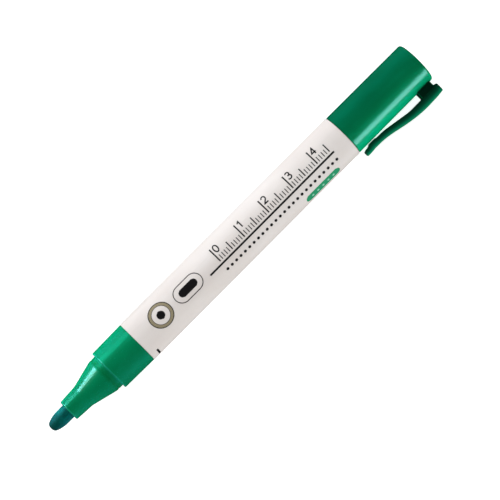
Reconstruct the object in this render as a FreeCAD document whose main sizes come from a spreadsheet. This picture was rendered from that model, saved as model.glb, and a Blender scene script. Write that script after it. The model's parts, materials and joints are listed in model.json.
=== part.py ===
import FreeCAD, Part
import math
import os
import re
import Sketcher

# A bullet-tip whiteboard marker, lying along X with its cap posted on its tail.
# The nib points to -X and the cap to +X. The origin is on the marker's axis at the middle of the
# white barrel. +Z is up, and the marker rests on its barrel and on the edge of its pocket clip.
# Each piece is drawn about the X axis; the cap and its clip are drawn with the clip straight up,
# then turned about X to the side that the clip rests on.

SIZES = {
    # white barrel, a moulded tube with a stepped tail
    "barrelDiameter": 14.3,
    "barrelLength": 85.2,
    "barrelWall": 0.95,
    "barrelEdge": 0.15,
    "tailDiameter": 11.7,
    "tailLength": 8.8,
    "tailWall": 0.95,
    "seatGroove": 1.55,
    "grooveWidth": 0.6,
    "grooveDepth": 0.08,
    "ribCount": 6,
    "ribWidth": 0.7,
    "ribHeight": 0.95,
    "ribFrontGap": 12.0,
    "ribRearGap": 4.0,
    "ribStopGap": 0.2,
    "ribStopHeight": 1.0,
    # green front section: nozzle, cone, cap seat and collar, with a plug in the barrel
    "nozzleTipDiameter": 6.95,
    "nozzleRootDiameter": 7.62,
    "nozzleLength": 6.15,
    "nozzleEdge": 0.4,
    "coneLength": 8.05,
    "coneBlend": 6.0,
    "seatDiameter": 11.7,
    "seatLength": 2.32,
    "collarFrontDiameter": 13.8,
    "collarRearDiameter": 14.15,
    "collarLength": 11.73,
    "collarEdge": 0.3,
    "plugLength": 8.6,
    "plugGap": 0.05,
    "plugWall": 0.8,
    "beadSetback": 6.1,
    "beadWidth": 1.2,
    "beadHeight": 0.18,
    "chamberDiameter": 9.5,
    "chamberLength": 7.4,
    "ventCount": 4,
    "ventWidth": 0.6,
    "ventDepth": 0.3,
    "nibBoreRun": 1.0,
    # nib
    "nibDiameter": 4.8,
    "nibGap": 0.05,
    "nibReach": 7.15,
    "nibLength": 37.5,
    "nibCrown": 1.35,
    "nibCrownRound": 1.5,
    "nibSlopeLength": 2.9,
    "nibShoulderRound": 9.0,
    "nibTaperLength": 5.5,
    "nibTailDiameter": 2.0,
    # fibre reservoir in its film
    "reservoirDiameter": 10.0,
    "reservoirLength": 85.0,
    "reservoirSetback": 0.5,
    "pocketGap": 0.1,
    "filmThickness": 0.15,
    # plug in the end of the tail
    "endFlange": 1.2,
    "endFlangeEdge": 0.35,
    "endDish": 0.35,
    "endSpigotLength": 6.0,
    "endSpigotGap": 0.03,
    "endSpigotWall": 0.9,
    # cap, closed at its end
    "capGap": 0.1,
    "capMouthDiameter": 14.05,
    "capEndDiameter": 13.8,
    "capLength": 30.95,
    "capBore": 11.9,
    "capEndWall": 1.2,
    "capLip": 0.25,
    "capRim": 0.45,
    "capEdge": 0.75,
    "capCrown": 0.2,
    "capBeadBore": 11.76,
    "capBeadWidth": 0.35,
    "capRibCount": 8,
    "capRibWidth": 0.8,
    "capRibStart": 12.0,
    # seal liner in the cap
    "linerStart": 10.6,
    "linerDiameter": 10.4,
    "linerFlangeDiameter": 11.8,
    "linerFlange": 0.9,
    "linerLip": 7.5,
    "linerLipLength": 1.4,
    "linerBore": 8.4,
    "linerLength": 16.7,
    "linerEndWall": 0.8,
    # pocket clip: heights are radii from the marker's axis
    "postFront": 66.8,
    "postRear": 71.9,
    "postWidth": 4.6,
    "postFoot": 6.3,
    "hingeHeight": 6.4,
    "hingeGap": 0.05,
    "clipRear": 73.0,
    "clipTop": 11.85,
    "clipRearTop": 11.55,
    "clipHeel": 8.5,
    "clipBend": 61.3,
    "clipCrest": 63.6,
    "clipDip": 50.0,
    "clipDipTop": 9.24,
    "clipTip": 43.7,
    "clipTipTop": 9.6,
    "clipTipUnderside": 7.75,
    "clipPadFront": 46.2,
    "clipPadRear": 48.7,
    "clipPadHeight": 7.13,
    "clipPadStep": 0.28,
    "clipArmUnderside": 7.5,
    "clipArmBend": 52.0,
    "clipBendRound": 18.0,
    "clipCrestRound": 30.0,
    "clipRootWidth": 5.4,
    "clipTipWidth": 4.6,
    "clipCornerRound": 1.3,
    "clipEndEdge": 0.45,
    "clipSideEdge": 0.9,
    "clipRearEdge": 0.3,
    "restGap": 0.06,
    # how far an outline that cuts reaches past what it cuts
    "cutOver": 2.0,
}

document = FreeCAD.newDocument("whiteboard_marker")
sheet = document.addObject("Spreadsheet::Sheet", "Sizes")
for row, (alias, size) in enumerate(SIZES.items(), start=1):
    sheet.set("A%d" % row, str(size))
    sheet.setAlias("A%d" % row, alias)
document.recompute()


def bound(text):
    # an expression in plain aliases, with each alias written as a cell of the sheet
    return re.sub(r"[A-Za-z]\w*", lambda found: cellName(found.group()), text)


def cellName(word):
    return "Sizes." + word if word in SIZES else word


def value(text):
    return float(sheet.evalExpression(bound(text)))


def newBody(label, turn=None):
    body = document.addObject("PartDesign::Body", label)
    body.Label = label
    if turn:
        body.Placement = FreeCAD.Placement(FreeCAD.Vector(), FreeCAD.Rotation(FreeCAD.Vector(1, 0, 0), 90))
        body.setExpression("Placement.Rotation.Angle", bound(turn))
    return body


def originFeature(body, role):
    return [item for item in body.Origin.OriginFeatures if item.Role == role][0]


def newSketch(body, name, plane="XZ_Plane"):
    sketch = body.newObject("Sketcher::SketchObject", name)
    sketch.AttachmentSupport = [(originFeature(body, plane), "")]
    sketch.MapMode = "FlatFace"
    return sketch


def arcBetween(start, end, centre):
    # the shorter arc from start to end; a sketch's arcs run anticlockwise, so it may be stored backwards
    first = math.atan2(start.y - centre.y, start.x - centre.x)
    last = math.atan2(end.y - centre.y, end.x - centre.x)
    turn = (last - first + math.pi) % (2 * math.pi) - math.pi
    circle = Part.Circle(centre, FreeCAD.Vector(0, 0, 1), start.distanceToPoint(centre))
    if turn > 0:
        return Part.ArcOfCircle(circle, first, first + turn), 1, 2
    return Part.ArcOfCircle(circle, last, last - turn), 2, 1


def drawOutline(sketch, corners):
    # A closed outline. A corner is (x, y), or (x, y, radius) to round it, or (x, y, None, radius)
    # where the edge that arrives is an arc of that radius, its centre to the right of travel.
    # Every place and radius is an expression, and stays bound to the sheet.
    points = [FreeCAD.Vector(value(corner[0]), value(corner[1]), 0) for corner in corners]
    count = len(corners)
    arrive = list(points)
    leave = list(points)
    centres = {}
    for i, corner in enumerate(corners):
        if len(corner) != 3:
            continue
        before = (points[i - 1] - points[i]).normalize()
        after = (points[(i + 1) % count] - points[i]).normalize()
        half = before.getAngle(after) / 2
        radius = value(corner[2])
        arrive[i] = points[i] + before * (radius / math.tan(half))
        leave[i] = points[i] + after * (radius / math.tan(half))
        centres[i] = points[i] + (before + after).normalize() * (radius / math.sin(half))
    edges = []
    for i in range(count):
        after = (i + 1) % count
        start, end = leave[i], arrive[after]
        if len(corners[after]) == 4:
            radius = value(corners[after][3])
            chord = end - start
            away = FreeCAD.Vector(chord.y, -chord.x, 0).normalize()
            centre = (start + end) * 0.5 + away * math.sqrt(radius ** 2 - (chord.Length / 2) ** 2)
            curve, first, last = arcBetween(start, end, centre)
            edge = sketch.addGeometry(curve)
            bind(sketch, Sketcher.Constraint("Radius", edge, radius), corners[after][3])
        else:
            first, last = 1, 2
            edge = sketch.addGeometry(Part.LineSegment(start, end))
        edges.append((edge, first, last))
    for i, corner in enumerate(corners):
        arriving, _, arrivingEnd = edges[i - 1]
        leaving, leavingStart, _ = edges[i]
        if i not in centres:
            meeting = Sketcher.Constraint("Coincident", arriving, arrivingEnd, leaving, leavingStart)
            sketch.addConstraint(meeting)
            place(sketch, leaving, leavingStart, corner)
            continue
        curve, first, last = arcBetween(arrive[i], leave[i], centres[i])
        rounding = sketch.addGeometry(curve)
        sketch.addConstraint(Sketcher.Constraint("Tangent", arriving, arrivingEnd, rounding, first))
        sketch.addConstraint(Sketcher.Constraint("Tangent", rounding, last, leaving, leavingStart))
        bind(sketch, Sketcher.Constraint("Radius", rounding, value(corner[2])), corner[2])
        apex = sketch.addGeometry(Part.Point(points[i]), True)
        sketch.addConstraint(Sketcher.Constraint("PointOnObject", apex, 1, arriving))
        sketch.addConstraint(Sketcher.Constraint("PointOnObject", apex, 1, leaving))
        place(sketch, apex, 1, corner)


def bind(sketch, constraint, text):
    index = sketch.addConstraint(constraint)
    sketch.setExpression("Constraints[%d]" % index, bound(text))


def place(sketch, geometry, end, corner):
    for kind, text in (("DistanceX", corner[0]), ("DistanceY", corner[1])):
        bind(sketch, Sketcher.Constraint(kind, -1, 1, geometry, end, value(text)), text)


def revolve(body, name, corners):
    # a solid of revolution about the marker's axis
    sketch = newSketch(body, name + "_profile")
    drawOutline(sketch, corners)
    feature = body.newObject("PartDesign::Revolution", name)
    feature.Profile = sketch
    feature.ReferenceAxis = (sketch, ["H_Axis"])
    feature.Angle = 360
    return feature


def pad(body, name, corners, width, kind="PartDesign::Pad"):
    # a side outline extruded to both sides of the plane of the clip
    sketch = newSketch(body, name + "_profile")
    drawOutline(sketch, corners)
    feature = body.newObject(kind, name)
    feature.Profile = sketch
    feature.SideType = "Symmetric"
    feature.setExpression("Length", bound(width))
    return feature


def roundEdges(body, name, base, radius, wanted):
    feature = body.newObject("PartDesign::Fillet", name)
    edges = ["Edge%d" % number for number, edge in enumerate(base.Shape.Edges, start=1) if wanted(edge)]
    feature.Base = (base, edges)
    feature.setExpression("Radius", bound(radius))
    document.recompute()
    return feature


def repeatRound(body, feature, count):
    pattern = body.newObject("PartDesign::PolarPattern", feature.Name + "_ring")
    pattern.Originals = [feature]
    pattern.Axis = (originFeature(body, "X_Axis"), [""])
    pattern.Angle = 360
    pattern.setExpression("Occurrences", bound(count))
    body.Tip = pattern
    return pattern


# places along X that several pieces share
BARREL_FRONT = "(-barrelLength / 2)"
BARREL_REAR = "(barrelLength / 2)"
SHOULDER = "(-barrelLength / 2 - collarLength)"
CONE_FRONT = "(-barrelLength / 2 - collarLength - seatLength - coneLength)"
NOZZLE_FRONT = "(-barrelLength / 2 - collarLength - seatLength - coneLength - nozzleLength)"
PLUG_REAR = "(-barrelLength / 2 + plugLength)"
RESERVOIR_FRONT = "(-barrelLength / 2 - chamberLength + reservoirSetback)"
TAIL_END = "(barrelLength / 2 + tailLength)"
CAP_MOUTH = "(barrelLength / 2 + capGap)"
CAP_END = "(barrelLength / 2 + capGap + capLength)"

# the clip's post has a top that is a quarter of a cylinder, about the line that the clip flexes on
HINGE_X = "((postFront + postRear) / 2)"
HINGE_RADIUS = "((postRear - postFront) / 2 * sqrt(2))"
CLIP_UNDERSIDE = "(hingeHeight + (postRear - postFront) / 2)"

# The cap's turn about X. The barrel lies on its side, and rolls until a rounded side edge of the
# clip's highest part meets the surface that it lies on. The crest's rounding takes its top down a little.
RISE = "atan((clipTop - clipDipTop) / (clipCrest - clipDip))"
FALL = "atan((clipTop - clipRearTop) / (clipRear - clipCrest))"
CREST_TOP = "(clipTop - clipCrestRound * (tan((%s + %s) / 2) * sin(%s) + cos(%s) - 1))" % (
    RISE, FALL, FALL, FALL)
CREST_HEIGHT = "(%s - clipSideEdge)" % CREST_TOP
CREST_SHARE = "((clipRear - clipCrest) / (clipRear - clipTip))"
CREST_WIDTH = "((clipRootWidth - (clipRootWidth - clipTipWidth) * %s) / 2 - clipSideEdge)" % CREST_SHARE
CREST_DROP = "(barrelDiameter / 2 - clipSideEdge - restGap)"
REST_TURN = "90 deg + asin(%s / hypot(%s; %s)) - atan(%s / %s)" % (
    CREST_DROP, CREST_HEIGHT, CREST_WIDTH, CREST_WIDTH, CREST_HEIGHT)


def grooved(centre, radius):
    # a shallow ring groove, as corners on the way to larger X
    floor = "%s - grooveDepth" % radius
    return [
        ("%s - grooveWidth / 2" % centre, radius),
        ("%s - grooveWidth / 4" % centre, floor),
        ("%s + grooveWidth / 4" % centre, floor),
        ("%s + grooveWidth / 2" % centre, radius),
    ]


def makeBarrel():
    body = newBody("barrel")
    bore = "barrelDiameter / 2 - barrelWall"
    tailBore = "tailDiameter / 2 - tailWall"
    bead = "%s + beadSetback" % BARREL_FRONT
    revolve(body, "tube", [
        (BARREL_FRONT, "barrelDiameter / 2", "barrelEdge"),
        (BARREL_REAR, "barrelDiameter / 2", "barrelEdge"),
        (BARREL_REAR, "tailDiameter / 2"),
    ] + grooved("%s + seatGroove" % CAP_MOUTH, "tailDiameter / 2") + [
        (TAIL_END, "tailDiameter / 2", "barrelEdge"),
        (TAIL_END, tailBore),
        ("%s - barrelWall / 2" % BARREL_REAR, tailBore),
        ("%s - barrelWall / 2 - (%s) + (%s)" % (BARREL_REAR, bore, tailBore), bore),
        # the snap groove for the front section's plug
        ("%s + beadWidth" % bead, bore),
        ("%s + beadWidth / 2" % bead, "%s + beadHeight + plugGap" % bore),
        ("%s - beadWidth / 2" % bead, "%s + beadHeight + plugGap" % bore),
        ("%s - beadWidth" % bead, bore),
        (BARREL_FRONT, bore),
    ])
    # ribs that hold the reservoir central, let air along it and step inwards behind it
    stop = "%s + reservoirLength + ribStopGap" % RESERVOIR_FRONT
    rib = pad(body, "rib", [
        ("%s + ribFrontGap" % BARREL_FRONT, "%s - ribHeight" % bore),
        (stop, "%s - ribHeight" % bore),
        (stop, "%s - ribHeight - ribStopHeight" % bore),
        ("%s - ribRearGap" % BARREL_REAR, "%s - ribHeight - ribStopHeight" % bore),
        ("%s - ribRearGap" % BARREL_REAR, "%s + barrelWall / 2" % bore),
        ("%s + ribFrontGap" % BARREL_FRONT, "%s + barrelWall / 2" % bore),
    ], "ribWidth")
    repeatRound(body, rib, "ribCount")
    return body


def makeFrontSection():
    body = newBody("front_section")
    nibBore = "nibDiameter / 2 + nibGap"
    plug = "barrelDiameter / 2 - barrelWall - plugGap"
    bead = "%s + beadSetback" % BARREL_FRONT
    chamberFront = "%s - chamberLength" % BARREL_FRONT
    revolve(body, "shell", [
        (NOZZLE_FRONT, nibBore),
        (NOZZLE_FRONT, "nozzleTipDiameter / 2", "nozzleEdge"),
        (CONE_FRONT, "nozzleRootDiameter / 2", "coneBlend"),
        ("%s - seatLength" % SHOULDER, "seatDiameter / 2", "coneBlend / 2"),
    ] + grooved("%s - seatGroove" % SHOULDER, "seatDiameter / 2") + [
        (SHOULDER, "seatDiameter / 2"),
        (SHOULDER, "collarFrontDiameter / 2", "collarEdge"),
        (BARREL_FRONT, "collarRearDiameter / 2", "barrelEdge"),
        (BARREL_FRONT, plug),
        ("%s - beadWidth" % bead, plug),
        ("%s - beadWidth / 2" % bead, "%s + beadHeight" % plug),
        ("%s + beadWidth / 2" % bead, "%s + beadHeight" % plug),
        ("%s + beadWidth" % bead, plug),
        (PLUG_REAR, "%s - barrelEdge" % plug),
        (PLUG_REAR, "%s - plugWall" % plug),
        (chamberFront, "%s - plugWall" % plug),
        (chamberFront, "chamberDiameter / 2"),
        ("%s - seatLength" % SHOULDER, "chamberDiameter / 2"),
        ("%s + nibBoreRun" % CONE_FRONT, nibBore),
    ])
    # vents beside the nib, which let air in as the ink is used
    vent = pad(body, "vent", [
        ("%s - cutOver" % NOZZLE_FRONT, "%s - ventDepth" % nibBore),
        ("%s + cutOver" % CONE_FRONT, "%s - ventDepth" % nibBore),
        ("%s + cutOver" % CONE_FRONT, "%s + ventDepth" % nibBore),
        ("%s - cutOver" % NOZZLE_FRONT, "%s + ventDepth" % nibBore),
    ], "ventWidth", "PartDesign::Pocket")
    repeatRound(body, vent, "ventCount")
    return body


def nibTailCorners(grow):
    # the nib's tapered tail, grown by a gap where it is the reservoir's pocket
    rear = "%s - nibReach + nibLength" % NOZZLE_FRONT
    return [
        ("%s - nibTaperLength" % rear, "nibDiameter / 2 + %s" % grow),
        ("%s + %s" % (rear, grow), "nibTailDiameter / 2 + %s" % grow),
        ("%s + %s" % (rear, grow), "0"),
    ]


def makeNib():
    body = newBody("nib")
    tip = "%s - nibReach" % NOZZLE_FRONT
    revolve(body, "bullet", [
        (tip, "0"),
        (tip, "nibCrown", "nibCrownRound"),
        ("%s + nibSlopeLength" % tip, "nibDiameter / 2", "nibShoulderRound"),
    ] + nibTailCorners("0"))
    return body


def makeReservoir():
    body = newBody("ink_reservoir")
    rear = "%s + reservoirLength" % RESERVOIR_FRONT
    revolve(body, "fibre", [
        (RESERVOIR_FRONT, "nibDiameter / 2 + pocketGap"),
        (RESERVOIR_FRONT, "reservoirDiameter / 2"),
        (rear, "reservoirDiameter / 2"),
        (rear, "0"),
    ] + nibTailCorners("pocketGap")[::-1])
    return body


def makeFilm():
    body = newBody("reservoir_film")
    rear = "%s + reservoirLength" % RESERVOIR_FRONT
    revolve(body, "film", [
        (RESERVOIR_FRONT, "reservoirDiameter / 2"),
        (RESERVOIR_FRONT, "reservoirDiameter / 2 + filmThickness"),
        (rear, "reservoirDiameter / 2 + filmThickness"),
        (rear, "reservoirDiameter / 2"),
    ])
    return body


def makeEndPlug():
    body = newBody("end_plug")
    flangeRear = "%s + endFlange" % TAIL_END
    spigot = "tailDiameter / 2 - tailWall - endSpigotGap"
    spigotEnd = "%s - endSpigotLength" % TAIL_END
    inside = "%s - endSpigotWall" % spigot
    revolve(body, "plug", [
        (spigotEnd, inside),
        (spigotEnd, spigot, "endFlangeEdge"),
        (TAIL_END, spigot),
        (TAIL_END, "tailDiameter / 2"),
        (flangeRear, "tailDiameter / 2", "endFlangeEdge"),
        (flangeRear, inside),
        ("%s - endDish" % flangeRear, "%s - endDish" % inside),
        ("%s - endDish" % flangeRear, "0"),
        ("%s - endDish" % TAIL_END, "0"),
        ("%s - endDish" % TAIL_END, inside, "endFlangeEdge"),
    ])
    return body


def makeCap():
    body = newBody("cap", REST_TURN)
    inside = "%s - capEndWall" % CAP_END
    bead = "%s + seatGroove" % CAP_MOUTH
    revolve(body, "shell", [
        (CAP_MOUTH, "capBore / 2 + capLip"),
        (CAP_MOUTH, "capMouthDiameter / 2", "capRim"),
        ("%s - capCrown" % CAP_END, "capEndDiameter / 2", "capEdge"),
        (CAP_END, "capEndDiameter / 4", "capEndDiameter"),
        (CAP_END, "0"),
        (inside, "0"),
        (inside, "capBore / 2", "capEndWall / 2"),
        # the snap bead that grips the seat on the front section and the tail
        ("%s + capBeadWidth" % bead, "capBore / 2"),
        ("%s + capBeadWidth / 2" % bead, "capBeadBore / 2"),
        ("%s - capBeadWidth / 2" % bead, "capBeadBore / 2"),
        ("%s - capBeadWidth" % bead, "capBore / 2"),
        ("%s + capLip" % CAP_MOUTH, "capBore / 2"),
    ])
    # ribs that grip the liner
    rib = pad(body, "rib", [
        ("%s + capRibStart" % CAP_MOUTH, "linerDiameter / 2"),
        ("%s + capEndWall / 2" % inside, "linerDiameter / 2"),
        ("%s + capEndWall / 2" % inside, "capBore / 2 + capEndWall / 2"),
        ("%s + capRibStart" % CAP_MOUTH, "capBore / 2 + capEndWall / 2"),
    ], "capRibWidth")
    repeatRound(body, rib, "capRibCount")
    # the post that carries the clip, its top rounded about the line that the clip flexes on
    pad(body, "post", [
        ("postFront", "postFoot"),
        ("postFront", CLIP_UNDERSIDE),
        ("postRear", CLIP_UNDERSIDE, None, HINGE_RADIUS),
        ("postRear", "postFoot"),
    ], "postWidth")
    return body


def makeInnerCap():
    body = newBody("inner_cap", REST_TURN)
    mouth = "%s + linerStart" % CAP_MOUTH
    end = "%s + linerLength" % mouth
    revolve(body, "liner", [
        (mouth, "linerLip / 2 + linerFlange / 2"),
        (mouth, "linerFlangeDiameter / 2"),
        ("%s + linerFlange" % mouth, "linerFlangeDiameter / 2"),
        ("%s + linerFlange" % mouth, "linerDiameter / 2"),
        (end, "linerDiameter / 2", "linerFlange"),
        (end, "0"),
        ("%s - linerEndWall" % end, "0"),
        ("%s - linerEndWall" % end, "linerBore / 2", "linerFlange"),
        ("%s + linerFlange / 2 + linerLipLength" % mouth, "linerBore / 2"),
        ("%s + linerLipLength" % mouth, "linerLip / 2"),
        ("%s + linerFlange / 2" % mouth, "linerLip / 2"),
    ])
    return body


def makeClip():
    body = newBody("pocket_clip", REST_TURN)
    seatRadius = "(%s + hingeGap)" % HINGE_RADIUS
    seatHalf = "sqrt(%s ^ 2 - ((postRear - postFront) / 2) ^ 2)" % seatRadius
    # side outline of the arm: level over the post, sloping down to the cap, lifted at its tip
    arm = pad(body, "arm", [
        ("clipTip", "clipTipTop"),
        ("clipTip", "clipTipUnderside", "clipEndEdge"),
        ("clipPadFront - clipPadStep", "clipTipUnderside - clipPadStep"),
        ("clipPadFront", "clipPadHeight", "clipPadStep"),
        ("clipPadRear", "clipPadHeight", "clipPadStep"),
        ("clipPadRear + clipPadStep", "clipPadHeight + clipPadStep"),
        ("clipArmBend", "clipArmUnderside", "clipBendRound"),
        ("clipBend", CLIP_UNDERSIDE, "clipBendRound"),
        ("%s - %s" % (HINGE_X, seatHalf), CLIP_UNDERSIDE),
        ("%s + %s" % (HINGE_X, seatHalf), CLIP_UNDERSIDE, None, seatRadius),
        ("%s + %s" % (HINGE_X, seatHalf), "clipHeel"),
        ("clipRear", "clipHeel"),
        ("clipRear", "clipRearTop"),
        ("clipCrest", "clipTop", "clipCrestRound"),
        ("clipDip", "clipDipTop", "clipBendRound"),
    ], "clipRootWidth + cutOver")
    # plan outline: narrower towards the tip, with rounded corners
    plan = newSketch(body, "plan_outline", "XY_Plane")
    drawOutline(plan, [
        ("clipTip", "clipTipWidth / 2", "clipCornerRound"),
        ("clipRear", "clipRootWidth / 2"),
        ("clipRear", "-clipRootWidth / 2"),
        ("clipTip", "-clipTipWidth / 2", "clipCornerRound"),
    ])
    drawOutline(plan, [
        ("clipTip - cutOver", "clipRootWidth"),
        ("clipRear + cutOver", "clipRootWidth"),
        ("clipRear + cutOver", "-clipRootWidth"),
        ("clipTip - cutOver", "-clipRootWidth"),
    ])
    trim = body.newObject("PartDesign::Pocket", "plan")
    trim.Profile = plan
    trim.SideType = "Symmetric"
    trim.setExpression("Length", bound("clipTop * 2 + cutOver"))
    document.recompute()

    def rearEdge(edge):
        return edge.BoundBox.Center.x > value("clipRear - clipRearEdge")

    def topEdge(edge):
        return edge.BoundBox.ZMin > value("clipDipTop") and not rearEdge(edge)

    crown = roundEdges(body, "side_edges", trim, "clipSideEdge", topEdge)
    roundEdges(body, "rear_edges", crown, "clipRearEdge", rearEdge)
    return body


def checkDocument():
    document.recompute()
    for item in document.Objects:
        assert "Invalid" not in item.State and "Error" not in item.State, (item.Name, item.State)
    for body in document.findObjects("PartDesign::Body"):
        assert not body.Shape.isNull() and body.Shape.isValid(), body.Label
        assert len(body.Shape.Solids) == 1, body.Label


makeBarrel()
makeFrontSection()
makeNib()
makeReservoir()
makeFilm()
makeEndPlug()
makeCap()
makeInnerCap()
makeClip()
checkDocument()

os.makedirs("parts", exist_ok=True)
for body in document.findObjects("PartDesign::Body"):
    body.Shape.exportStep("parts/%s.step" % body.Label)
    print(body.Label, round(body.Shape.Volume, 1))
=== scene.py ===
import json
import math

import bmesh
import bpy
from mathutils import Matrix, Vector

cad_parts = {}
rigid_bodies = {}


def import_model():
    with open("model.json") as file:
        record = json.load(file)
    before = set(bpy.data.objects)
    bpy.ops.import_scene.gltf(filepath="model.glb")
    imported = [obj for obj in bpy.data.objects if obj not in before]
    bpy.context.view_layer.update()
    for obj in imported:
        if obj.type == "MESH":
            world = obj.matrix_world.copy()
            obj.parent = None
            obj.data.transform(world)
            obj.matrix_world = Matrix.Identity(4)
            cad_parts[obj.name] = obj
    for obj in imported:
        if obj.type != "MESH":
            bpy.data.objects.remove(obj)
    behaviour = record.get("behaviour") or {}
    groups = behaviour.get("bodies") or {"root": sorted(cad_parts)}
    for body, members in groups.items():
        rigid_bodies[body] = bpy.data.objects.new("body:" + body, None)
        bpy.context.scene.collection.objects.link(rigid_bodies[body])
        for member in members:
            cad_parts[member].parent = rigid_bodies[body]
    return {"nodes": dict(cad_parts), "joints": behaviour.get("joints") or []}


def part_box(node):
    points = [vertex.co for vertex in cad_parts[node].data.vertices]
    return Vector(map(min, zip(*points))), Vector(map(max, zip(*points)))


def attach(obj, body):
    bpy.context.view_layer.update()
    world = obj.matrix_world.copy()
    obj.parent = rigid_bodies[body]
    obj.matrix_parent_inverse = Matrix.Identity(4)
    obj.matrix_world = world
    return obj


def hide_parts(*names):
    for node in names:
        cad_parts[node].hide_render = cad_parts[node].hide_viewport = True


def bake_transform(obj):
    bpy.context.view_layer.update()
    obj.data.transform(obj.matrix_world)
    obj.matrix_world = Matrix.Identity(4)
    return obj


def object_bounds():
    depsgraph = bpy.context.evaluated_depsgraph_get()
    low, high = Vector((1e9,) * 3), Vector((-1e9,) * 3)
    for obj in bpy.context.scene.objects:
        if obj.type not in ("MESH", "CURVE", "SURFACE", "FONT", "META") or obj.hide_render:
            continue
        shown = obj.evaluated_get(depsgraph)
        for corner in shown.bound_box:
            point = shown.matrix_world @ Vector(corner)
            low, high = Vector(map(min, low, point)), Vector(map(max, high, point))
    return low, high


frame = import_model()
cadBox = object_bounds()
mm = 0.001

# the clip flexes about a line beside the cap, and that line says which way the clip points
joints = {joint["name"]: joint for joint in frame["joints"]}
flexPoint = Vector(joints["clip_flex"]["pos_m"])
axisX = Vector((1, 0, 0))
clipSide = Vector((0, flexPoint.y, flexPoint.z)).normalized()
faceSide = clipSide.cross(axisX)    # square to the clip, the side with the print
barrelLow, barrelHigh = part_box("barrel")
barrelRadius = (barrelHigh.y - barrelLow.y) / 2
print("frame loaded: barrel %.2f mm across" % (2 * barrelRadius / mm))


def linearColour(hexCode):
    # sRGB hex to the linear values that Blender mixes
    levels = [int(hexCode[place:place + 2], 16) / 255 for place in (1, 3, 5)]
    return [level / 12.92 if level <= 0.04045 else ((level + 0.055) / 1.055) ** 2.4
            for level in levels] + [1]


def addNode(tree, kind, settings=None, links=None):
    # a node with its settings (properties or inputs) and what is linked to its inputs
    node = tree.nodes.new("ShaderNode" + kind)
    for name, value in (settings or {}).items():
        if isinstance(name, str) and hasattr(node, name):
            setattr(node, name, value)
        else:
            node.inputs[name].default_value = value
    for name, socket in (links or {}).items():
        tree.links.new(socket, node.inputs[name])
    return node


def newMaterial(name, settings):
    material = bpy.data.materials.new(name)
    material.use_nodes = True
    tree = material.node_tree
    tree.nodes.clear()
    shader = addNode(tree, "BsdfPrincipled", settings)
    addNode(tree, "OutputMaterial", {}, {"Surface": shader.outputs["BSDF"]})
    place = addNode(tree, "TexCoord").outputs["Object"]
    return material, tree, shader, place


def noisePattern(tree, place, grain, longer=1, detail=2):
    # grain is the size of a blotch in millimetres, and the blotches are so many times longer along the marker
    mapping = addNode(tree, "Mapping", {"Scale": (1 / longer, 1, 1)}, {"Vector": place})
    return addNode(tree, "TexNoise", {"Scale": 1 / (grain * mm), "Detail": detail},
                   {"Vector": mapping.outputs["Vector"]}).outputs["Fac"]


# where most of a noise pattern lies, for tones and for gloss
toneMiddle = (0.35, 0.65)
glossMiddle = (0.3, 0.7)


def paintedRingTone(tree, colour, place, ring):
    # a painted ring of another tone round the front section, strongest at its middle: a paler ring is a
    # painted highlight, a darker one painted shade
    along = addNode(tree, "SeparateXYZ", {}, {"Vector": place}).outputs["X"]
    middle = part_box("front_section")[0].x + ring["at"] * mm
    off = addNode(tree, "Math", {"operation": "SUBTRACT", 1: middle}, {0: along}).outputs[0]
    away = addNode(tree, "Math", {"operation": "ABSOLUTE"}, {0: off}).outputs[0]
    fade = addNode(tree, "MapRange", {
        "interpolation_type": "SMOOTHSTEP", "From Max": ring["reach"] * mm, "To Min": ring["share"],
        "To Max": 0}, {"Value": away}).outputs["Result"]
    return addNode(tree, "MixRGB", {"Color2": linearColour(ring["tone"])},
                   {"Fac": fade, "Color1": colour}).outputs["Color"]


def dressSurface(tree, shader, place, finish, tonePattern, glossPattern, bumps):
    # tones run from dark to light over the middle of their pattern, the gloss wanders with a second pattern,
    # and each bump is a pattern with its depth in millimetres
    tones = finish["tones"]
    low, high = finish.get("toneReach", toneMiddle)
    ramp = addNode(tree, "ValToRGB", {}, {"Fac": tonePattern})
    stops = ramp.color_ramp.elements
    while len(stops) < len(tones):
        stops.new(0.5)    # moved to its place below
    for count, tone in enumerate(tones):
        stops[count].position = low + (high - low) * count / (len(tones) - 1)
        stops[count].color = linearColour(tone)
    colour = ramp.outputs["Color"]
    for ring in finish.get("rings", ()):
        colour = paintedRingTone(tree, colour, place, ring)
    tree.links.new(colour, shader.inputs["Base Color"])
    if glossPattern:
        gloss = addNode(tree, "MapRange", {
            "From Min": glossMiddle[0], "From Max": glossMiddle[1], "To Min": finish["gloss"][0],
            "To Max": finish["gloss"][1]}, {"Value": glossPattern})
        tree.links.new(gloss.outputs["Result"], shader.inputs["Roughness"])
    normal = None
    for pattern, depth in bumps:
        links = {"Height": pattern}
        if normal:
            links["Normal"] = normal
        normal = addNode(tree, "Bump", {"Distance": depth * mm, "Strength": 1.0}, links).outputs["Normal"]
    tree.links.new(normal, shader.inputs["Normal"])


# Materials: sizes in millimetres, tones from dark to light, gloss as the lowest and highest roughness. Satin
# grain from a mould is about 0.05 mm and a fibre 0.02 mm, too fine to show, so both are drawn several times
# coarser.
whiteShell = {
    "tones": ["#e7dfda", "#ede6e1", "#f1ebe7"],
    "cloud": 9,
    "cloudDepth": 0.02,
    "grain": 0.35,
    "grainDepth": 0.0015,
    "gloss": (0.27, 0.38),
    "clearDepth": 1.5,
}


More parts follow.
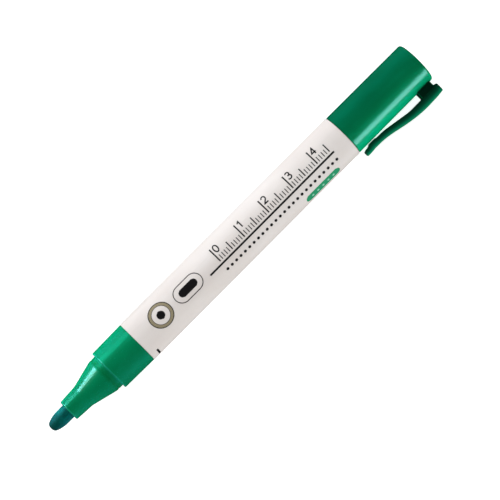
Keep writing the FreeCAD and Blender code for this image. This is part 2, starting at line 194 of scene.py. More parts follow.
def whitePolypropylene():
    # moulded white polypropylene: a soft sheen, faint flow clouds along the tube, fine satin grain
    material, tree, shader, place = newMaterial("mouldedWhitePolypropylene", {
        "IOR": 1.49, "Subsurface Weight": 0.1, "Subsurface Scale": whiteShell["clearDepth"] * mm,
        "Subsurface Radius": (1.0, 0.9, 0.8)})
    clouds = noisePattern(tree, place, whiteShell["cloud"], longer=4)
    grain = noisePattern(tree, place, whiteShell["grain"], longer=1.5, detail=4)
    dressSurface(tree, shader, place, whiteShell, clouds, grain,
                 [(clouds, whiteShell["cloudDepth"]), (grain, whiteShell["grainDepth"])])
    return material


greenShell = {
    "tones": ["#007043", "#007648", "#007d4e"],
    "cloud": 7,
    "cloudDepth": 0.025,
    "grain": 0.3,
    "grainDepth": 0.0015,
    "capGloss": (0.15, 0.25),
    "frontGloss": (0.185, 0.285),
    "clearDepth": 1.2,
}
# rings painted on the front section as highlights and shade: how far behind its mouth, how far they fade out,
# and how much of the tone shows
paintedFrontRings = [
    {"at": 0.2, "reach": 0.5, "tone": "#1f9a7c", "share": 0.45},       # a painted highlight on the mouth's edge
    {"at": 16.65, "reach": 0.55, "tone": "#1f9a7c", "share": 0.45},    # a painted highlight on the collar's front edge
    {"at": 15.1, "reach": 1.5, "tone": "#00642c", "share": 0.55},      # painted shade on the cap's seat, beside the collar
]
greenPlastic = {"IOR": 1.49, "Specular IOR Level": 0.6, "Specular Tint": linearColour("#60ffd8")}


def greenPolypropylene(name, gloss, rings=()):
    # moulded green polypropylene: deep and a little clear, so its edges glow and its gloss is tinted; where
    # rings are given, painted highlights on its edges and painted shade on the cap's seat
    material, tree, shader, place = newMaterial(name, {
        **greenPlastic, "Subsurface Weight": 0.15, "Subsurface Scale": greenShell["clearDepth"] * mm,
        "Subsurface Radius": (0.2, 1.0, 0.6)})
    clouds = noisePattern(tree, place, greenShell["cloud"], longer=3)
    grain = noisePattern(tree, place, greenShell["grain"], longer=1.5, detail=4)
    dressSurface(tree, shader, place, {**greenShell, "gloss": gloss, "rings": rings}, clouds, grain,
                 [(clouds, greenShell["cloudDepth"]), (grain, greenShell["grainDepth"])])
    return material


clipShadeGreen = {
    "tones": ["#002011", "#003320", "#00492d", "#006f4a", "#009466"],
    "toneReach": (0.03, 1.0),    # of the way from the arm's inner side to its outer side: painted shade, darkest by the cap
    "unevenness": 0.06,
    "grain": 0.3,
    "grainDepth": 0.0015,
    "roughness": 0.28,
}


def shadedGreenPolypropylene():
    # moulded like the cap, but solid; painted shade makes it dark on the post and on the arm's side towards
    # the cap, lighter out to the arm's outer side
    material, tree, shader, place = newMaterial("solidGreenPolypropyleneWithPaintedShade", {
        **greenPlastic, "Roughness": clipShadeGreen["roughness"]})
    grain = noisePattern(tree, place, clipShadeGreen["grain"], longer=1.5, detail=4)
    # painted shade from the arm's height, with a little random unevenness
    height = addNode(tree, "Attribute", {"attribute_name": "armShadeHeight"}).outputs["Fac"]
    uneven = addNode(tree, "Math", {"operation": "MULTIPLY_ADD", 1: clipShadeGreen["unevenness"]},
                     {0: grain, 2: height}).outputs[0]
    dressSurface(tree, shader, place, clipShadeGreen, uneven, None, [(grain, clipShadeGreen["grainDepth"])])
    return material


nibFelt = {
    "tones": ["#003a33", "#005349", "#006b5b"],
    "fibre": 0.09,
    "fibreDepth": 0.012,
    "fibreShare": 0.6,           # of the pattern, and the rest is blots where the ink has soaked in unevenly
    "blot": 1.6,
    "crown": (1.32, 4.4),        # behind the tip: full painted shade up to here, and none from there
    "crownPaintedShade": 0.14,
    "gloss": (0.5, 0.7),
}


def inkedNibFibre():
    # acrylic fibre, bonded, ground to a bullet and soaked in ink: matt, with fine streaks along the nib and
    # painted shade that darkens its crown
    material, tree, shader, place = newMaterial("inkedAcrylicFibre", {
        "IOR": 1.48, "Specular IOR Level": 0.25, "Specular Tint": linearColour("#40f0f0"),
        "Sheen Weight": 0.05, "Sheen Roughness": 0.4, "Sheen Tint": linearColour("#10a89c")})
    streaks = noisePattern(tree, place, nibFelt["fibre"], longer=14, detail=3)
    blots = noisePattern(tree, place, nibFelt["blot"], longer=2)
    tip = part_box("nib")[0].x
    along = addNode(tree, "SeparateXYZ", {}, {"Vector": place}).outputs["X"]
    # painted shade, darkest at the tip
    shade = addNode(tree, "MapRange", {
        "From Min": tip + nibFelt["crown"][0] * mm, "From Max": tip + nibFelt["crown"][1] * mm,
        "To Min": -nibFelt["crownPaintedShade"], "To Max": 0}, {"Value": along}).outputs["Result"]
    shaded = addNode(tree, "Math", {"operation": "MULTIPLY_ADD", 1: 1 - nibFelt["fibreShare"]},
                     {0: blots, 2: shade}).outputs[0]
    mixed = addNode(tree, "Math", {"operation": "MULTIPLY_ADD", 1: nibFelt["fibreShare"]},
                    {0: streaks, 2: shaded}).outputs[0]
    dressSurface(tree, shader, place, nibFelt, mixed, streaks, [(streaks, nibFelt["fibreDepth"])])
    return material


tow = {
    "tones": ["#063f33", "#0a6450", "#3d8f79"],
    "fibre": 0.15,
    "fibreDepth": 0.04,
    "blot": 6,
    "gloss": (0.45, 0.75),
}


def reservoirFibre():
    # polyester tow, crimped and pressed into a stick that holds the ink: fibres along it, wet and green
    material, tree, shader, place = newMaterial("inkedPolyesterTow", {"IOR": 1.5, "Sheen Weight": 0.2})
    streaks = noisePattern(tree, place, tow["fibre"], longer=30, detail=4)
    blots = noisePattern(tree, place, tow["blot"], longer=2)
    mixed = addNode(tree, "Math", {"operation": "ADD"}, {0: streaks, 1: blots}).outputs[0]
    halved = addNode(tree, "Math", {"operation": "MULTIPLY", 1: 0.5}, {0: mixed}).outputs[0]
    dressSurface(tree, shader, place, tow, halved, streaks, [(streaks, tow["fibreDepth"])])
    return material


film = {
    "tones": ["#d6ebe4", "#eef8f5"],
    "wrinkle": 1.8,
    "wrinkleDepth": 0.05,
    "gloss": (0.08, 0.18),
}


def clearFilm():
    # clear polypropylene film, drawn thin round the tow: glossy, with long wrinkles
    material, tree, shader, place = newMaterial("clearPolypropyleneFilm", {
        "IOR": 1.49, "Transmission Weight": 0.8})
    wrinkles = noisePattern(tree, place, film["wrinkle"], longer=12, detail=3)
    dressSurface(tree, shader, place, film, wrinkles, wrinkles, [(wrinkles, film["wrinkleDepth"])])
    return material


liner = {
    "tones": ["#dcdeda", "#eaece8"],
    "cloud": 4,
    "grain": 0.4,
    "grainDepth": 0.004,
    "gloss": (0.38, 0.5),
    "clearDepth": 2.5,
}


def naturalPolyethylene():
    # undyed polyethylene, moulded: milky and waxy, soft enough to seal on the nozzle
    material, tree, shader, place = newMaterial("naturalPolyethylene", {
        "IOR": 1.51, "Subsurface Weight": 0.35, "Subsurface Scale": liner["clearDepth"] * mm,
        "Subsurface Radius": (1.0, 1.0, 0.9)})
    clouds = noisePattern(tree, place, liner["cloud"])
    grain = noisePattern(tree, place, liner["grain"], detail=4)
    dressSurface(tree, shader, place, liner, clouds, grain, [(grain, liner["grainDepth"])])
    return material


printedInk = {
    "speck": 0.12,
    "speckDepth": 0.003,
    "gloss": (0.4, 0.6),
}


def printInk(name, tones):
    # pad-printed ink: thin and satin, a little uneven where it met the plastic
    material, tree, shader, place = newMaterial(name, {"IOR": 1.5})
    specks = noisePattern(tree, place, printedInk["speck"], detail=3)
    dressSurface(tree, shader, place, {**printedInk, "tones": tones}, specks, specks,
                 [(specks, printedInk["speckDepth"])])
    return material


materials = {
    "white": whitePolypropylene(),
    "green": greenPolypropylene("mouldedGreenPolypropylene", greenShell["capGloss"]),
    "ringPaintedGreen": greenPolypropylene("greenPolypropyleneWithPaintedRings", greenShell["frontGloss"], paintedFrontRings),
    "clipShadeGreen": shadedGreenPolypropylene(),
    "nib": inkedNibFibre(),
    "tow": reservoirFibre(),
    "film": clearFilm(),
    "liner": naturalPolyethylene(),
    "blackInk": printInk("blackPrintInk", ["#0f0e10", "#1b191b"]),
    "tanInk": printInk("tanPrintInk", ["#8f8468", "#a2977a"]),
    "greenInk": printInk("greenPrintInk", ["#0b9b68", "#14a873"]),
    "paleInk": printInk("palePrintInk", ["#8fd9bd", "#a6e3cb"]),
}
finishes = {"barrel": "white", "front_section": "ringPaintedGreen", "cap": "green", "pocket_clip": "green",
            "nib": "nib", "ink_reservoir": "tow", "reservoir_film": "film", "inner_cap": "liner",
            "end_plug": "green"}
for nodeName, finish in finishes.items():
    for slot in frame["nodes"][nodeName].material_slots:
        slot.material = materials[finish]
print("materials on", len(finishes), "CAD nodes")


def newObject(name, mesh, material):
    piece = bpy.data.objects.new(name, mesh)
    bpy.context.scene.collection.objects.link(piece)
    mesh.materials.append(material)
    return piece


def newPiece(name, mesh, material):
    # an object from a bmesh, its faces turned outwards
    bmesh.ops.recalc_face_normals(mesh, faces=mesh.faces)
    data = bpy.data.meshes.new(name)
    mesh.to_mesh(data)
    mesh.free()
    return newObject(name, data, material)


def applyModifiers(piece):
    # the piece's mesh as its modifiers leave it
    graph = bpy.context.evaluated_depsgraph_get()
    mesh = bpy.data.meshes.new_from_object(piece.evaluated_get(graph))
    piece.modifiers.clear()
    piece.data = mesh
    for face in mesh.polygons:
        face.use_smooth = True


# Pocket clip: one moulding with the cap, a post and a springy arm. In millimetres, along X from the arm's tip
# and with heights as radii from the marker's axis.
clip = {
    "outerLine": [(0, 9.74), (6.3, 9.2), (18.4, 11.78), (24.9, 11.9), (29.3, 11.47)],
    "innerLine": [(0, 7.86), (2.2, 7.55), (2.6, 7.14), (4.9, 7.14), (5.3, 7.36), (8.3, 7.4), (17.6, 8.9),
                  (28.1, 8.9), (28.2, 8.42), (28.9, 8.42), (29.3, 8.85)],
    "sections": 120,
    "bendRound": 4.2,
    "bendSamples": 8,
    "innerRound": {"arm": 1.2, "ends": 0.15, "from": 7, "to": 27},
    "tipWidth": 4.6,
    "rootWidth": 5.4,
    "outerCorner": {"radius": 1.15, "ofThickness": 0.55, "ofHalfWidth": 0.95},    # the most that it may take
    "innerCorner": {"radius": 0.35, "ofThickness": 0.3, "ofHalfWidth": 0.4},
    "cornerSteps": 8,
    "crown": 0.12,
    "tipRound": 1.2,
    "tipPinch": 0.42,       # share of its width that the arm loses at the very tip
    "tipThinning": 0.3,     # and of its thickness
    "post": {"x": (23.05, 28.25), "heights": (6.5, 9.7), "width": 4.72, "corner": 0.35, "cornerSteps": 4},
    "voxel": 0.11,
    "smoothing": {"factor": 0.5, "rounds": 5},
    # painted highlight on the arm's tip: how much paler it is drawn, fading out along the arm
    "paintedTipLight": 0.12,
    "bendStart": 0.6,       # where the arm starts to give, behind the hinge line
}
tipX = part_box("pocket_clip")[0].x


def clipPoint(along, height, across):
    return axisX * (tipX + along * mm) + clipSide * (height * mm) + faceSide * (across * mm)


def lineHeight(line, along, bend):
    # height of a broken line at a place along it, its corners eased over the bend's length
    samples = clip["bendSamples"]
    easing = [along + bend * (step / samples - 1) for step in range(2 * samples + 1)]
    heights = []
    for spot in easing:
        spot = min(max(spot, line[0][0]), line[-1][0])
        for (startX, startY), (endX, endY) in zip(line, line[1:]):
            if spot <= endX:
                heights.append(startY + (endY - startY) * (spot - startX) / (endX - startX))
                break
    return sum(heights) / len(heights)


def innerHeight(along):
    rounding = clip["innerRound"]
    return lineHeight(clip["innerLine"], along,
                      rounding["arm"] if rounding["from"] < along < rounding["to"] else rounding["ends"])


def cornerPoints(corners, steps):
    # quarter turns, each from its own start, round the corners of a section
    for middleA, middleB, radius, start in corners:
        for step in range(steps + 1):
            turn = math.radians(start + 90 * step / steps)
            yield start, middleA + radius * math.cos(turn), middleB + radius * math.sin(turn)


def cornerRadius(corner, thickness, half):
    return min(corner["radius"], thickness * corner["ofThickness"], half * corner["ofHalfWidth"])


def armRing(along, inner, outer, width):
    # one cross-section of the arm: flat inside, well rounded and a little crowned outside
    half = width / 2
    top = cornerRadius(clip["outerCorner"], outer - inner, half)
    low = cornerRadius(clip["innerCorner"], outer - inner, half)
    corners = [(half - low, inner + low, low, -90), (half - top, outer - top, top, 0),
               (top - half, outer - top, top, 90), (low - half, inner + low, low, 180)]
    points = []
    for start, across, height in cornerPoints(corners, clip["cornerSteps"]):
        if start in (0, 90):    # the outer corners
            height += clip["crown"] * (1 - (across / half) ** 2)
        points.append(clipPoint(along, height, across))
    return points


def armRings():
    start, end = clip["outerLine"][0][0], clip["outerLine"][-1][0]
    length = end - start
    rings = []
    for step in range(clip["sections"] + 1):
        along = start + length * step / clip["sections"]
        nearTip = max(0, 1 - (along - start) / clip["tipRound"])
        narrowing = 1 - math.sqrt(max(0, 1 - nearTip ** 2))
        outer = lineHeight(clip["outerLine"], along, min(clip["bendRound"], along - start, end - along))
        outer -= clip["crown"]
        inner = innerHeight(along)
        middle = (inner + outer) / 2
        rise = (outer - inner) / 2 * (1 - clip["tipThinning"] * narrowing)
        width = clip["tipWidth"] + (clip["rootWidth"] - clip["tipWidth"]) * (along - start) / length
        width *= 1 - clip["tipPinch"] * narrowing
        rings.append(armRing(along, middle - rise, middle + rise, width))
    return rings


def postRings():
    # the post stands in the cap's wall and runs up into the arm
    post = clip["post"]
    (front, rear), half, edge = post["x"], post["width"] / 2, post["corner"]
    corners = [(rear - edge, half - edge, edge, 0), (front + edge, half - edge, edge, 90),
               (front + edge, edge - half, edge, 180), (rear - edge, edge - half, edge, 270)]
    return [[clipPoint(along, height, across)
             for start, along, across in cornerPoints(corners, post["cornerSteps"])]
            for height in post["heights"]]


def loftRings(mesh, rings):
    loops = [[mesh.verts.new(point) for point in ring] for ring in rings]
    for near, far in zip(loops, loops[1:]):
        for spot in range(len(near)):
            mesh.faces.new((near[spot], near[spot - 1], far[spot - 1], far[spot]))
    mesh.faces.new(loops[0])
    mesh.faces.new(loops[-1][::-1])


def paintArmShade(piece):
    # how far each point is from the arm's inner side to its outer side, which the material paints as shade,
    # dark by the cap
    heights = []
    for point in piece.data.vertices:
        along = (point.co.x - tipX) / mm
        inner = innerHeight(along)
        outer = lineHeight(clip["outerLine"], along, clip["bendRound"])
        share = (point.co.dot(clipSide) / mm - inner) / (outer - inner)
        # a painted highlight makes the arm paler near its tip
        heights.append(share + clip["paintedTipLight"] * max(0, 1 - along / clip["innerRound"]["from"]))
    piece.data.attributes.new("armShadeHeight", "FLOAT", "POINT").data.foreach_set("value", heights)


def makeClip():
    mesh = bmesh.new()
    loftRings(mesh, armRings())
    loftRings(mesh, postRings())
    piece = newPiece("clipArm", mesh, materials["clipShadeGreen"])
    remesh = piece.modifiers.new("oneMoulding", "REMESH")
    remesh.mode = "VOXEL"
    remesh.voxel_size = clip["voxel"] * mm
    smooth = piece.modifiers.new("mouldRound", "SMOOTH")
    smooth.factor = clip["smoothing"]["factor"]
    smooth.iterations = clip["smoothing"]["rounds"]
    applyModifiers(piece)
    paintArmShade(piece)
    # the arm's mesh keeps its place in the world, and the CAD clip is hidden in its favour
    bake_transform(piece)
    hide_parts("pocket_clip")
    return piece


clipArm = makeClip()
print("clip arm:", len(clipArm.data.polygons), "faces")

# Print on the barrel, plain shapes only. In millimetres: x from the barrel's middle, s round the barrel from
# the middle of the printed side towards the clip.
printing = {
    "thickness": 0.02,
    "sunk": 0.03,
    "overprint": 0.01,      # what print on print stands above it
    "facet": 0.5,
    "rowsInHalf": 3,        # the fewest rows in half of a bar
    "roundness": 0.985,     # how much of its half height a round end has, so that no row is a single point
    "cornerStep": 6,        # degrees
    "arcStep": 15,
    "join": 0.04,           # a stroke whose ends are nearer than this is closed
    "mitreLimit": 0.5,
}


def barrelPoint(x, s, lift):
    turn = s * mm / barrelRadius
    out = faceSide * math.cos(turn) + clipSide * math.sin(turn)
    return axisX * (x * mm) + out * (barrelRadius + lift * mm)


def spaced(start, end, longest):
    count = max(1, math.ceil(abs(end - start) / longest))
    return [start + (end - start) * step / count for step in range(count + 1)]


def squareRound(x, s, size):
    return (x - size / 2, x + size / 2), (s - size / 2, s + size / 2)


def filledBar(x, s, roundEnds=False):
    # rows of points across a bar, its ends square or half round
    middle, half = (s[0] + s[1]) / 2, (s[1] - s[0]) / 2
    rows = []
    for level in spaced(s[0], s[1], min(printing["facet"], half / printing["rowsInHalf"])):
        away = min(abs(level - middle), half * printing["roundness"])
        inset = half - math.sqrt(half ** 2 - away ** 2) if roundEnds else 0
        rows.append([(x[0] + inset, level), (x[1] - inset, level)])
    return rows


def outlines(x, s, insets, corner):
    # rows of points round a rectangle with round corners, each row set in further from its edge
    turns = spaced(0, 90, printing["cornerStep"])
    rows = []
    for inset in insets:
        points = []
        for sideX, sideS, start in ((1, 1, 0), (0, 1, 90), (0, 0, 180), (1, 0, 270)):
            middleX = x[sideX] + (corner if sideX == 0 else -corner)
            middleS = s[sideS] + (corner if sideS == 0 else -corner)
            points += [(middleX + (corner - inset) * math.cos(math.radians(start + turn)),
                        middleS + (corner - inset) * math.sin(math.radians(start + turn))) for turn in turns]
        rows.append(points)
    return rows


def strokeRows(points, width):
    # the two sides of a stroke along a line of points, mitred where it turns
    closed = math.dist(points[0], points[-1]) < printing["join"]
    filled = [points[0]]
    for near, far in zip(points, points[1:]):
        parts = len(spaced(0, math.dist(near, far), printing["facet"])) - 1
        filled += [(near[0] + (far[0] - near[0]) * part / parts, near[1] + (far[1] - near[1]) * part / parts)
                   for part in range(1, parts + 1)]
    points = filled[:-1] if closed else filled
    sides = ([], [])
    for spot, point in enumerate(points):
        before = points[spot - 1] if spot or closed else point
        after = points[(spot + 1) % len(points)] if spot + 1 < len(points) or closed else point
        ways = [Vector(far) - Vector(near) for near, far in ((before, point), (point, after)) if near != far]
        normals = [Vector((-way.y, way.x)).normalized() for way in ways]
        mitre = sum(normals, Vector((0, 0))).normalized()
        reach = width / 2 / max(printing["mitreLimit"], mitre.dot(normals[0]))
        for side, sign in zip(sides, (1, -1)):
            side.append((point[0] + mitre.x * reach * sign, point[1] + mitre.y * reach * sign))
    return list(sides), closed


def printPiece(name, patches, ink, lift=0):
    # each patch is rows of (x, s) points and whether the rows close; it becomes a thin sheet round the barrel
    mesh = bmesh.new()
    for rows, closed in patches:
        layers = [[[mesh.verts.new(barrelPoint(x, s, level)) for x, s in row] for row in rows]
                  for level in (printing["thickness"] + lift, -printing["sunk"])]
        columns = len(rows[0])
        spans = [(span, (span + 1) % columns) for span in range(columns if closed else columns - 1)]
        upper, lower = layers
        for layer in layers:
            for near, far in zip(layer, layer[1:]):
                for span, after in spans:
                    mesh.faces.new((near[span], near[after], far[after], far[span]))
        for row in (0, -1):
            for span, after in spans:
                mesh.faces.new((upper[row][span], upper[row][after], lower[row][after], lower[row][span]))
        for column in () if closed else (0, -1):
            for row in range(len(rows) - 1):
                mesh.faces.new((upper[row][column], upper[row + 1][column],
                                lower[row + 1][column], lower[row][column]))
    piece = newPiece(name, mesh, materials[ink])
    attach(piece, "barrel")


def printBars(name, bars, ink, roundEnds=False, lift=0):
    printPiece(name, [(filledBar(x, s, roundEnds), False) for x, s in bars], ink, lift)


# a scale in millimetres with a rule beside it, its centimetres numbered, and a row of dots
scale = {
    "rule": ((-14.05, 36.95), (1.2, 1.76)),
    "start": -9.0,
    "length": 45,
    "foot": 0.6,
    "heights": {10: 4.9, 5: 2.9, 1: 1.7},       # of the marks at every 10, 5 and 1 mm
    "widths": {10: 0.42, 5: 0.36, 1: 0.26},
    "dots": {"s": 3.85, "size": 0.95, "step": 1.8},
}


def makeScale():
    printBars("printRule", [scale["rule"]], "blackInk")
    marks = []
    for step in range(scale["length"] + 1):
        rank = next(length for length in scale["heights"] if step % length == 0)
        x, half = scale["start"] + step, scale["widths"][rank] / 2
        marks.append(((x - half, x + half), (scale["foot"] - scale["heights"][rank], scale["foot"])))
    printBars("printScale", marks, "blackInk")


def makeDots():
    dots = scale["dots"]
    count = round(scale["length"] / dots["step"])
    spots = [squareRound(scale["start"] + step * dots["step"], dots["s"], dots["size"])
             for step in range(count + 1)]
    printBars("printDots", spots, "blackInk", roundEnds=True)


def arcPoints(centre, radii, start, end):
    # part of an oval, from one angle to another in degrees
    turns = [math.radians(turn) for turn in spaced(start, end, printing["arcStep"])]
    return [(centre[0] + radii[0] * math.cos(turn), centre[1] + radii[1] * math.sin(turn)) for turn in turns]


# plain digits as strokes in a unit box, from their lower left corner
digits = {
    "size": (1.5, 2.35),
    "beside": 0.85,         # the mark that they number
    "foot": -1.95,
    "stroke": 0.4,
    "shapes": [
        [arcPoints((0.5, 0.5), (0.46, 0.5), 0, 360)],
        [[(0.12, 0.74), (0.55, 1), (0.55, 0)]],
        [arcPoints((0.5, 0.69), (0.43, 0.31), 165, -35) + [(0.04, 0.02), (0.98, 0.02)]],
        [arcPoints((0.45, 0.75), (0.4, 0.25), 150, -90) + arcPoints((0.45, 0.26), (0.47, 0.26), 90, -150)],
        [[(0.72, 0), (0.72, 1), (0.0, 0.28), (1, 0.28)]],
    ],
}


def makeDigits():
    width, height = digits["size"]
    strokes = []
    for centimetre, shape in enumerate(digits["shapes"]):
        x = scale["start"] + 10 * centimetre + digits["beside"]
        for stroke in shape:
            placed = [(x + across * width, digits["foot"] - up * height) for across, up in stroke]
            strokes.append(strokeRows(placed, digits["stroke"]))
    printPiece("printDigits", strokes, "blackInk")


# three rings round a solid spot
dial = {
    "x": -32.3,
    "s": -0.63,
    "outer": 3.95,
    "rings": [(0.26, "blackInk"), (0.8, "tanInk"), (0.14, "blackInk")],
    "spot": 2.6,
}


def makeDial():
    x, s = squareRound(dial["x"], dial["s"], 2 * dial["outer"])
    inset = 0
    for ring, (width, ink) in enumerate(dial["rings"]):
        rows = outlines(x, s, (inset, inset + width), dial["outer"])
        printPiece("printRing%d" % (ring + 1), [(rows, True)], ink)
        inset += width
    printBars("printSpot", [squareRound(dial["x"], dial["s"], dial["spot"])], "blackInk", roundEnds=True)


# a stroke in a round window
window = {
    "x": (-26.4, -16.0),
    "s": (-3.4, 2.2),
    "line": 0.26,
    "stroke": ((-24.6, -17.8), (-1.85, 0.65)),
}


def makeWindow():
    corner = (window["s"][1] - window["s"][0]) / 2
    rows = outlines(window["x"], window["s"], (0, window["line"]), corner)
    printPiece("printWindow", [(rows, True)], "blackInk")
    printBars("printStroke", [window["stroke"]], "blackInk", roundEnds=True)


# a green badge with a row of dots, and a small tick at the barrel's front
badge = {
    "x": (21.4, 34.95),
    "s": (6.0, 8.7),
    "dots": {"size": 0.8, "step": 2.1, "count": 5},
    "tick": ((-40.37, -39.72), (6.4, 9.5)),
}


def makeBadge():
    printBars("printBadge", [(badge["x"], badge["s"])], "greenInk", roundEnds=True)
    middleX, middleS, dots = sum(badge["x"]) / 2, sum(badge["s"]) / 2, badge["dots"]
    spots = [squareRound(middleX + (turn - (dots["count"] - 1) / 2) * dots["step"], middleS, dots["size"])
             for turn in range(dots["count"])]
    printBars("printBadgeDots", spots, "paleInk", roundEnds=True, lift=printing["overprint"])
    printBars("printTick", [badge["tick"]], "blackInk")


makeScale()
makeDigits()
makeDots()
makeDial()
makeWindow()
makeBadge()
printed = [piece for piece in bpy.data.objects if piece.name.startswith("print")]
print("print on the barrel:", len(printed), "pieces")

# Floor, camera and studio
studio = {
    "distance": 0.9,        # from the camera to the barrel's middle
    "frameWidth": 0.1462,   # what the frame spans at that distance
    "tilt": 3.4,            # degrees, the nib's end nearer to the camera
    "roll": 45.145,         # degrees, the cap's end up to the right
    "aimAlong": -0.27 * mm,
    "aimAcross": -4.38 * mm,
    "sensorWidth": 36,
    "viewRange": (0.05, 50),
    "floorReach": 6,
    "floorColour": "#bcbcbc",
    "floorRoughness": 0.9,
    "floorGloss": 0.1,
    "floorGlow": 0.9,
    "skyLight": 0.55,
    "floorLight": 1.0,
    "skyGloss": 0.03,
    "horizon": -0.02,       # how far down the sky's light reaches
}


def placeCamera():
    tilt, roll = math.radians(studio["tilt"]), math.radians(studio["roll"])
    toCamera = faceSide * math.cos(tilt) - axisX * math.sin(tilt)
    alongView = axisX * math.cos(tilt) + faceSide * math.sin(tilt)
    acrossView = toCamera.cross(alongView)
    viewRight = alongView * math.cos(roll) - acrossView * math.sin(roll)
    viewUp = alongView * math.sin(roll) + acrossView * math.cos(roll)
    aim = alongView * studio["aimAlong"] + acrossView * studio["aimAcross"]
    lens = bpy.data.cameras.new("camera")
    lens.sensor_width = studio["sensorWidth"]
    lens.lens = lens.sensor_width * studio["distance"] / studio["frameWidth"]
    lens.clip_start, lens.clip_end = studio["viewRange"]
    camera = bpy.data.objects.new("camera", lens)
    bpy.context.scene.collection.objects.link(camera)
    facing = Matrix((viewRight, viewUp, toCamera)).transposed().to_4x4()
    camera.matrix_world = Matrix.Translation(aim + toCamera * studio["distance"]) @ facing
    bpy.context.scene.camera = camera


def makeFloor():
    # matt pale paint, rolled on: plain, with no gloss to draw the eye
    paint = newMaterial("mattFloorPaint", {
        "Base Color": linearColour(studio["floorColour"]), "Roughness": studio["floorRoughness"],
        "Specular IOR Level": studio["floorGloss"], "Emission Color": linearColour("#ffffff"),
        "Emission Strength": studio["floorGlow"]})[0]
    reach, level = studio["floorReach"], cadBox[0].z
    corners = [(-reach, -reach, level), (reach, -reach, level), (reach, reach, level), (-reach, reach, level)]
    mesh = bpy.data.meshes.new("floor")
    mesh.from_pydata(corners, [], [(0, 1, 2, 3)])
    floor = newObject("floor", mesh, paint)
    # the world below it lights the marker and some lamps reach below it, so it is there only to be seen
    floor.visible_glossy = floor.visible_diffuse = floor.visible_shadow = False


def makeSky():
    # even light from above and from below, hardly any of it in the gloss, and white where it is seen
    world = bpy.data.worlds.new("studio")
    world.use_nodes = True
    bpy.context.scene.world = world
    tree = world.node_tree
    tree.nodes.clear()
    path = addNode(tree, "LightPath")
    place = addNode(tree, "SeparateXYZ", {}, {"Vector": addNode(tree, "TexCoord").outputs["Generated"]})
    upper = addNode(tree, "Math", {"operation": "GREATER_THAN", 1: studio["horizon"]},
                    {0: place.outputs["Z"]})
    diffuse = addNode(tree, "MapRange", {"To Min": studio["floorLight"], "To Max": studio["skyLight"]},
                      {"Value": upper.outputs["Value"]})
    glossy = addNode(tree, "Math", {"operation": "MULTIPLY", 1: studio["skyGloss"]},
                     {0: upper.outputs["Value"]})
    unseen = addNode(tree, "MapRange", {}, {
        "Value": path.outputs["Is Glossy Ray"], "To Min": diffuse.outputs["Result"],
        "To Max": glossy.outputs["Value"]})
    strength = addNode(tree, "MapRange", {"To Max": 1.0}, {
        "Value": path.outputs["Is Camera Ray"], "To Min": unseen.outputs["Result"]})
    sky = addNode(tree, "Background", {"Color": linearColour("#ffffff")},
                  {"Strength": strength.outputs["Result"]})
    addNode(tree, "OutputWorld", {}, {"Surface": sky.outputs["Background"]})


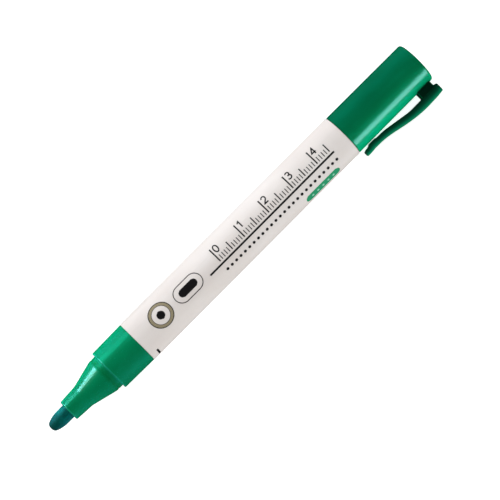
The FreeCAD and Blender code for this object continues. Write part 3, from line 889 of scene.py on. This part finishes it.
# Lamps round the marker: metres, the size round the marker and then along it, the angle in degrees from the
# printed side towards the clip. A card shows in gloss alone, and the others light the surface and never show.
frontPieces = [frame["nodes"]["front_section"], frame["nodes"]["nib"]]
capPieces = [frame["nodes"]["cap"]]
lamps = {
    # broad lights from both sides
    "farLight": {"x": -0.15, "angle": -78, "distance": 1.2, "size": (1.8, 0.8), "radiance": 3.3,
                 "tint": "#f7faff", "without": capPieces},
    "nearLight": {"x": -0.1, "angle": 60, "distance": 1.0, "size": (1.8, 0.3), "radiance": 1.6},
    # cards that give the front section and the nib their gloss, and low lights for their glow
    "collarCard": {"x": -0.055, "angle": -62, "distance": 0.57, "size": (0.348, 0.2), "radiance": 3.2,
                   "tint": "#00fff3", "only": frontPieces, "card": True},
    "coneCard": {"x": -0.42, "angle": -64.5, "distance": 0.57, "size": (0.31, 0.28), "radiance": 23.5,
                 "tint": "#ff94a4", "only": frontPieces, "card": True},
    "noseCard": {"x": -0.24, "angle": -72.5, "distance": 0.57, "size": (0.2, 0.1), "radiance": 54,
                 "tint": "#dcc2f2", "only": frontPieces, "card": True},
    "frontGlow": {"x": -0.1, "angle": -110, "distance": 0.6, "size": (0.62, 0.3), "radiance": 19.3,
                  "tint": "#00dcff", "only": frontPieces},
    "frontLow": {"x": -0.1, "angle": 95, "distance": 0.6, "size": (0.62, 0.3), "radiance": 5.08,
                 "tint": "#00baff", "only": frontPieces},
    # the same for the cap
    "capCard": {"x": 0.14, "angle": 72, "distance": 0.5, "size": (0.23, 0.44), "radiance": 14.6,
                "tint": "#ffb0d3", "only": capPieces, "card": True},
    "capGlow": {"x": 0.1, "angle": 105, "distance": 0.6, "size": (0.3, 0.4), "radiance": 27.2,
                "tint": "#00e1ff", "only": capPieces},
    "capFill": {"x": 0.1, "angle": -80, "distance": 0.6, "size": (0.5, 0.4), "radiance": 4.33,
                "tint": "#00c7ff", "only": capPieces},
}


def pieceGroup(name, pieces):
    group = bpy.data.collections.new(name)
    for piece in pieces:
        group.objects.link(piece)
    return group


def makeLamp(name, x, angle, distance, size, radiance, tint="#ffffff", card=False, only=None, without=None):
    # a rectangular light that faces the marker's axis, for all pieces, for some only, or for all but some
    light = bpy.data.lights.new(name, "AREA")
    light.color = linearColour(tint)[:3]
    light.shape = "RECTANGLE"
    light.size, light.size_y = size
    light.energy = radiance * size[0] * size[1] * math.pi
    lamp = bpy.data.objects.new(name, light)
    bpy.context.scene.collection.objects.link(lamp)
    turn = math.radians(angle)
    place = axisX * x + (faceSide * math.cos(turn) + clipSide * math.sin(turn)) * distance
    facing = (axisX * x - place).to_track_quat("-Z", "X").to_matrix().to_4x4()
    lamp.matrix_world = Matrix.Translation(place) @ facing
    lamp.visible_diffuse, lamp.visible_glossy, lamp.visible_camera = not card, card, False
    if only:
        lit = pieceGroup(name + "Lights", only)
        lamp.light_linking.receiver_collection = lit
        lamp.light_linking.blocker_collection = lit
    if without:
        skipped = pieceGroup(name + "Skips", without)
        lamp.light_linking.receiver_collection = skipped
        for piece in skipped.collection_objects:
            piece.light_linking.link_state = "EXCLUDE"


placeCamera()
makeFloor()
makeSky()
for lampName, settings in lamps.items():
    makeLamp(lampName, **settings)
bpy.context.scene.view_settings.view_transform = "Standard"
print("studio:", len(lamps), "lamps")
